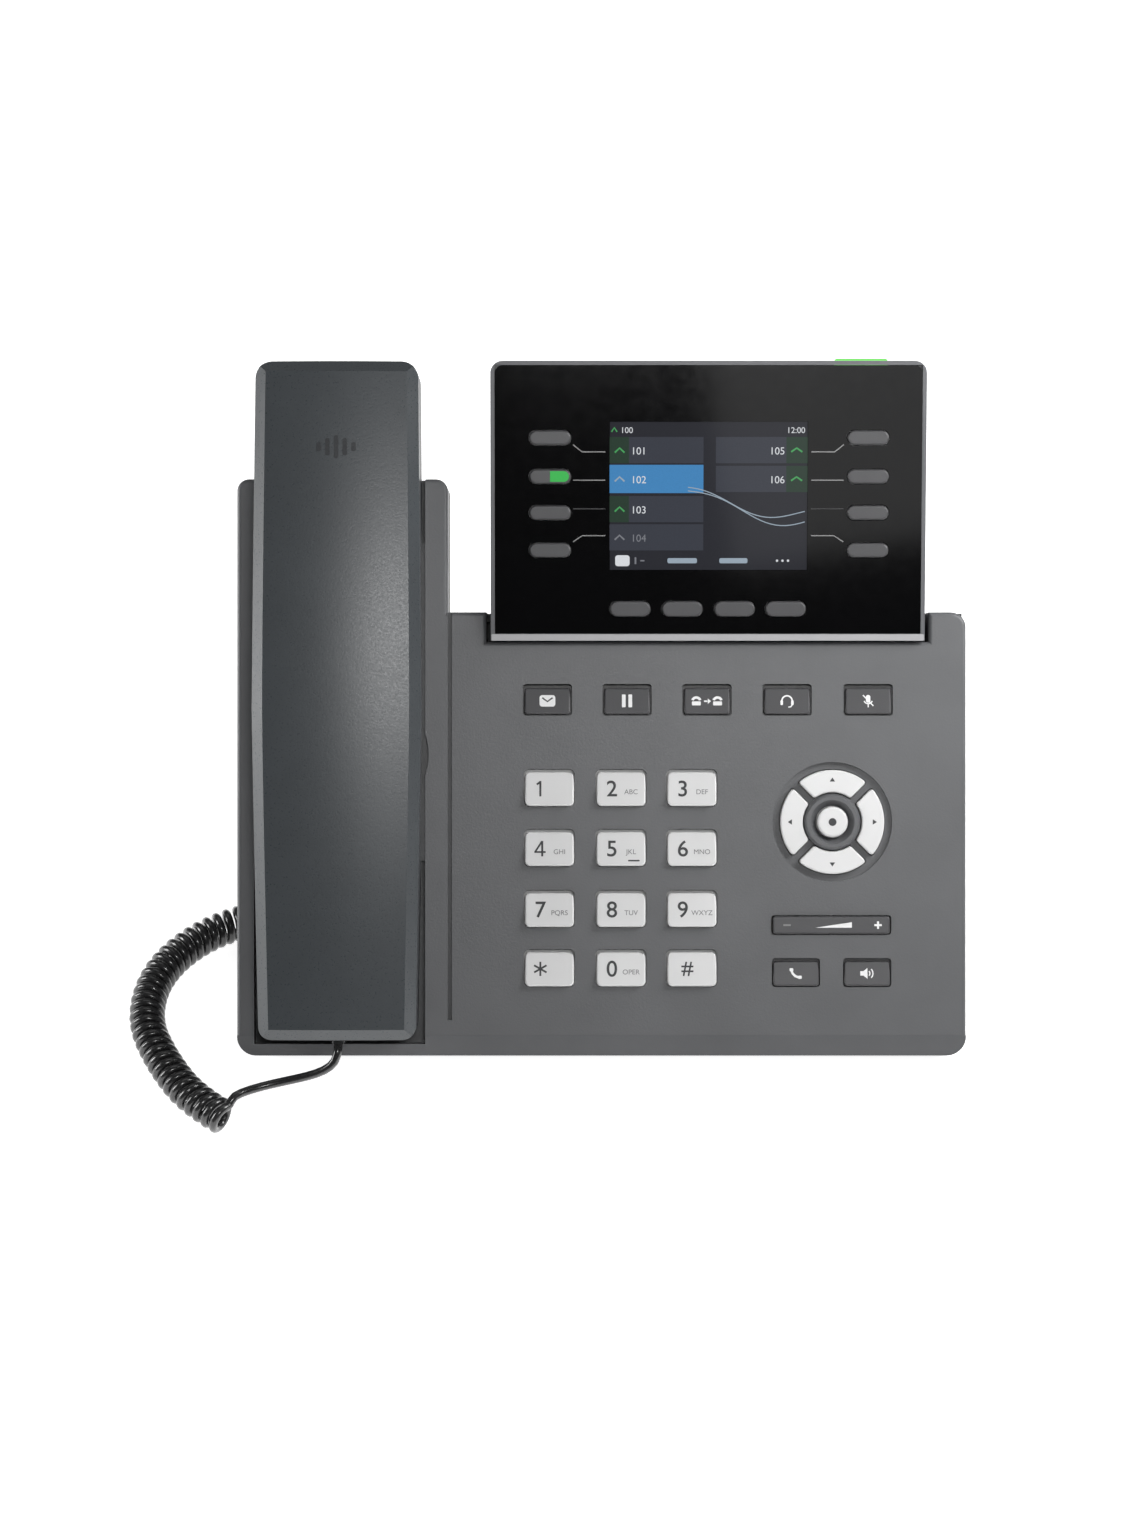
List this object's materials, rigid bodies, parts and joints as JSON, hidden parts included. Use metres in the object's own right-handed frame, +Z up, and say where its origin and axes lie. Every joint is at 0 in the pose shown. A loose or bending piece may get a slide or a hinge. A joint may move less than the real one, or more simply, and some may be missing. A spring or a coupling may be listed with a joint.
{
  "type": "desk telephone",
  "caption": "Desk telephone on a tilted stand: handset in a cradle with a curly cord, dial and function keys, arrow ring, and a colour display with keys beside it.",
  "frame": {"origin": "centre of the footprint, on the desk, measured without the cord", "axes": "+X to the right across the face, +Y to the back, +Z up"},
  "size_m": [0.2475, 0.1681, 0.1678],
  "materials": {
    "housing_grey": "fine satin texture",
    "base_dark": "fine texture",
    "screw_steel": "satin",
    "foot_rubber": "matte",
    "display_frame": "satin",
    "bezel_gloss": "mirror gloss",
    "lcd_screen": "gloss",
    "light_pipe": "frosted",
    "board_green": "satin",
    "mat_rubber": "matte",
    "speaker_metal": "satin",
    "jack_black": "satin",
    "plug_clear": "clear",
    "cord_black": "satin",
    "handset_grey": "satin",
    "handset_dark": "satin",
    "key_silver": "satin",
    "key_dark": "satin",
    "key_grey": "satin"
  },
  "bodies": {
    "base": {"front_housing": "housing_grey", "rear_housing": "base_dark", "housing_screws": "screw_steel", "stand": "base_dark", "rubber_feet": "foot_rubber", "display_housing": "display_frame", "display_bezel": "bezel_gloss", "lcd_panel": "lcd_screen", "message_light": "light_pipe", "circuit_boards": "board_green", "keypad_mat": "mat_rubber", "loudspeaker": "speaker_metal", "port_jacks": "jack_black", "base_plug": "plug_clear", "curly_coil": "cord_black", "base_lead": "cord_black"},
    "handset": {"handset_front_shell": "handset_grey", "handset_rear_shell": "handset_dark", "earpiece_capsule": "speaker_metal", "handset_microphone": "speaker_metal", "handset_plug": "plug_clear", "handset_lead": "cord_black"},
    "hook_lever": {"hook_lever": "base_dark"},
    "volume_rocker": {"volume_rocker": "key_dark"},
    "dial_key_1": {"dial_key_1": "key_silver"},
    "dial_key_2": {"dial_key_2": "key_silver"},
    "dial_key_3": {"dial_key_3": "key_silver"},
    "dial_key_4": {"dial_key_4": "key_silver"},
    "dial_key_5": {"dial_key_5": "key_silver"},
    "dial_key_6": {"dial_key_6": "key_silver"},
    "dial_key_7": {"dial_key_7": "key_silver"},
    "dial_key_8": {"dial_key_8": "key_silver"},
    "dial_key_9": {"dial_key_9": "key_silver"},
    "dial_key_star": {"dial_key_star": "key_silver"},
    "dial_key_0": {"dial_key_0": "key_silver"},
    "dial_key_hash": {"dial_key_hash": "key_silver"},
    "messages_key": {"messages_key": "key_dark"},
    "hold_key": {"hold_key": "key_dark"},
    "transfer_key": {"transfer_key": "key_dark"},
    "headset_key": {"headset_key": "key_dark"},
    "mute_key": {"mute_key": "key_dark"},
    "send_key": {"send_key": "key_dark"},
    "speaker_key": {"speaker_key": "key_dark"},
    "ok_key": {"ok_key": "key_silver"},
    "arrow_key_right": {"arrow_key_right": "key_silver"},
    "arrow_key_up": {"arrow_key_up": "key_silver"},
    "arrow_key_left": {"arrow_key_left": "key_silver"},
    "arrow_key_down": {"arrow_key_down": "key_silver"},
    "soft_key_1": {"soft_key_1": "key_grey"},
    "soft_key_2": {"soft_key_2": "key_grey"},
    "soft_key_3": {"soft_key_3": "key_grey"},
    "soft_key_4": {"soft_key_4": "key_grey"},
    "line_key_left_1": {"line_key_left_1": "key_grey"},
    "line_key_left_2": {"line_key_left_2": "key_grey"},
    "line_key_left_3": {"line_key_left_3": "key_grey"},
    "line_key_left_4": {"line_key_left_4": "key_grey"},
    "line_key_right_1": {"line_key_right_1": "key_grey"},
    "line_key_right_2": {"line_key_right_2": "key_grey"},
    "line_key_right_3": {"line_key_right_3": "key_grey"},
    "line_key_right_4": {"line_key_right_4": "key_grey"}
  },
  "joints": [
    {"name": "handset_lift", "type": "slide", "parent": "base", "child": "handset", "axis": [0, -0.7071, 0.7071], "range_m": [0, 0.06]},
    {"name": "hook_hinge", "type": "hinge", "parent": "base", "child": "hook_lever", "pos_m": [-0.0765, 0.03063, 0.10834], "axis": [1, 0, 0], "range_deg": [0, 12.1]},
    {"name": "volume_rock", "type": "hinge", "parent": "base", "child": "volume_rocker", "pos_m": [0.0671, -0.04135, 0.04074], "axis": [0, 0.7071, 0.7071], "range_deg": [-3, 3], "stiffness_Nm_per_rad": 0.09},
    {"name": "dial_key_1_press", "type": "slide", "parent": "base", "child": "dial_key_1", "axis": [0, 0.7071, -0.7071], "range_m": [0, 0.0012], "stiffness_N_per_m": 400},
    {"name": "dial_key_2_press", "type": "slide", "parent": "base", "child": "dial_key_2", "axis": [0, 0.7071, -0.7071], "range_m": [0, 0.0012], "stiffness_N_per_m": 400},
    {"name": "dial_key_3_press", "type": "slide", "parent": "base", "child": "dial_key_3", "axis": [0, 0.7071, -0.7071], "range_m": [0, 0.0012], "stiffness_N_per_m": 400},
    {"name": "dial_key_4_press", "type": "slide", "parent": "base", "child": "dial_key_4", "axis": [0, 0.7071, -0.7071], "range_m": [0, 0.0012], "stiffness_N_per_m": 400},
    {"name": "dial_key_5_press", "type": "slide", "parent": "base", "child": "dial_key_5", "axis": [0, 0.7071, -0.7071], "range_m": [0, 0.0012], "stiffness_N_per_m": 400},
    {"name": "dial_key_6_press", "type": "slide", "parent": "base", "child": "dial_key_6", "axis": [0, 0.7071, -0.7071], "range_m": [0, 0.0012], "stiffness_N_per_m": 400},
    {"name": "dial_key_7_press", "type": "slide", "parent": "base", "child": "dial_key_7", "axis": [0, 0.7071, -0.7071], "range_m": [0, 0.0012], "stiffness_N_per_m": 400},
    {"name": "dial_key_8_press", "type": "slide", "parent": "base", "child": "dial_key_8", "axis": [0, 0.7071, -0.7071], "range_m": [0, 0.0012], "stiffness_N_per_m": 400},
    {"name": "dial_key_9_press", "type": "slide", "parent": "base", "child": "dial_key_9", "axis": [0, 0.7071, -0.7071], "range_m": [0, 0.0012], "stiffness_N_per_m": 400},
    {"name": "dial_key_star_press", "type": "slide", "parent": "base", "child": "dial_key_star", "axis": [0, 0.7071, -0.7071], "range_m": [0, 0.0012], "stiffness_N_per_m": 400},
    {"name": "dial_key_0_press", "type": "slide", "parent": "base", "child": "dial_key_0", "axis": [0, 0.7071, -0.7071], "range_m": [0, 0.0012], "stiffness_N_per_m": 400},
    {"name": "dial_key_hash_press", "type": "slide", "parent": "base", "child": "dial_key_hash", "axis": [0, 0.7071, -0.7071], "range_m": [0, 0.0012], "stiffness_N_per_m": 400},
    {"name": "messages_key_press", "type": "slide", "parent": "base", "child": "messages_key", "axis": [0, 0.7071, -0.7071], "range_m": [0, 0.0012], "stiffness_N_per_m": 400},
    {"name": "hold_key_press", "type": "slide", "parent": "base", "child": "hold_key", "axis": [0, 0.7071, -0.7071], "range_m": [0, 0.0012], "stiffness_N_per_m": 400},
    {"name": "transfer_key_press", "type": "slide", "parent": "base", "child": "transfer_key", "axis": [0, 0.7071, -0.7071], "range_m": [0, 0.0012], "stiffness_N_per_m": 400},
    {"name": "headset_key_press", "type": "slide", "parent": "base", "child": "headset_key", "axis": [0, 0.7071, -0.7071], "range_m": [0, 0.0012], "stiffness_N_per_m": 400},
    {"name": "mute_key_press", "type": "slide", "parent": "base", "child": "mute_key", "axis": [0, 0.7071, -0.7071], "range_m": [0, 0.0012], "stiffness_N_per_m": 400},
    {"name": "send_key_press", "type": "slide", "parent": "base", "child": "send_key", "axis": [0, 0.7071, -0.7071], "range_m": [0, 0.0012], "stiffness_N_per_m": 400},
    {"name": "speaker_key_press", "type": "slide", "parent": "base", "child": "speaker_key", "axis": [0, 0.7071, -0.7071], "range_m": [0, 0.0012], "stiffness_N_per_m": 400},
    {"name": "ok_key_press", "type": "slide", "parent": "base", "child": "ok_key", "axis": [0, 0.7071, -0.7071], "range_m": [0, 0.0012], "stiffness_N_per_m": 400},
    {"name": "arrow_key_right_press", "type": "slide", "parent": "base", "child": "arrow_key_right", "axis": [0, 0.7071, -0.7071], "range_m": [0, 0.0012], "stiffness_N_per_m": 400},
    {"name": "arrow_key_up_press", "type": "slide", "parent": "base", "child": "arrow_key_up", "axis": [0, 0.7071, -0.7071], "range_m": [0, 0.0012], "stiffness_N_per_m": 400},
    {"name": "arrow_key_left_press", "type": "slide", "parent": "base", "child": "arrow_key_left", "axis": [0, 0.7071, -0.7071], "range_m": [0, 0.0012], "stiffness_N_per_m": 400},
    {"name": "arrow_key_down_press", "type": "slide", "parent": "base", "child": "arrow_key_down", "axis": [0, 0.7071, -0.7071], "range_m": [0, 0.0012], "stiffness_N_per_m": 400},
    {"name": "soft_key_1_press", "type": "slide", "parent": "base", "child": "soft_key_1", "axis": [0, 0.7771, -0.6293], "range_m": [0, 0.0012], "stiffness_N_per_m": 400},
    {"name": "soft_key_2_press", "type": "slide", "parent": "base", "child": "soft_key_2", "axis": [0, 0.7771, -0.6293], "range_m": [0, 0.0012], "stiffness_N_per_m": 400},
    {"name": "soft_key_3_press", "type": "slide", "parent": "base", "child": "soft_key_3", "axis": [0, 0.7771, -0.6293], "range_m": [0, 0.0012], "stiffness_N_per_m": 400},
    {"name": "soft_key_4_press", "type": "slide", "parent": "base", "child": "soft_key_4", "axis": [0, 0.7771, -0.6293], "range_m": [0, 0.0012], "stiffness_N_per_m": 400},
    {"name": "line_key_left_1_press", "type": "slide", "parent": "base", "child": "line_key_left_1", "axis": [0, 0.7771, -0.6293], "range_m": [0, 0.0012], "stiffness_N_per_m": 400},
    {"name": "line_key_left_2_press", "type": "slide", "parent": "base", "child": "line_key_left_2", "axis": [0, 0.7771, -0.6293], "range_m": [0, 0.0012], "stiffness_N_per_m": 400},
    {"name": "line_key_left_3_press", "type": "slide", "parent": "base", "child": "line_key_left_3", "axis": [0, 0.7771, -0.6293], "range_m": [0, 0.0012], "stiffness_N_per_m": 400},
    {"name": "line_key_left_4_press", "type": "slide", "parent": "base", "child": "line_key_left_4", "axis": [0, 0.7771, -0.6293], "range_m": [0, 0.0012], "stiffness_N_per_m": 400},
    {"name": "line_key_right_1_press", "type": "slide", "parent": "base", "child": "line_key_right_1", "axis": [0, 0.7771, -0.6293], "range_m": [0, 0.0012], "stiffness_N_per_m": 400},
    {"name": "line_key_right_2_press", "type": "slide", "parent": "base", "child": "line_key_right_2", "axis": [0, 0.7771, -0.6293], "range_m": [0, 0.0012], "stiffness_N_per_m": 400},
    {"name": "line_key_right_3_press", "type": "slide", "parent": "base", "child": "line_key_right_3", "axis": [0, 0.7771, -0.6293], "range_m": [0, 0.0012], "stiffness_N_per_m": 400},
    {"name": "line_key_right_4_press", "type": "slide", "parent": "base", "child": "line_key_right_4", "axis": [0, 0.7771, -0.6293], "range_m": [0, 0.0012], "stiffness_N_per_m": 400}
  ],
  "couplings": [
    {"joint": "hook_hinge", "follows": "handset_lift", "rad_per_m": 3.49}
  ]
}
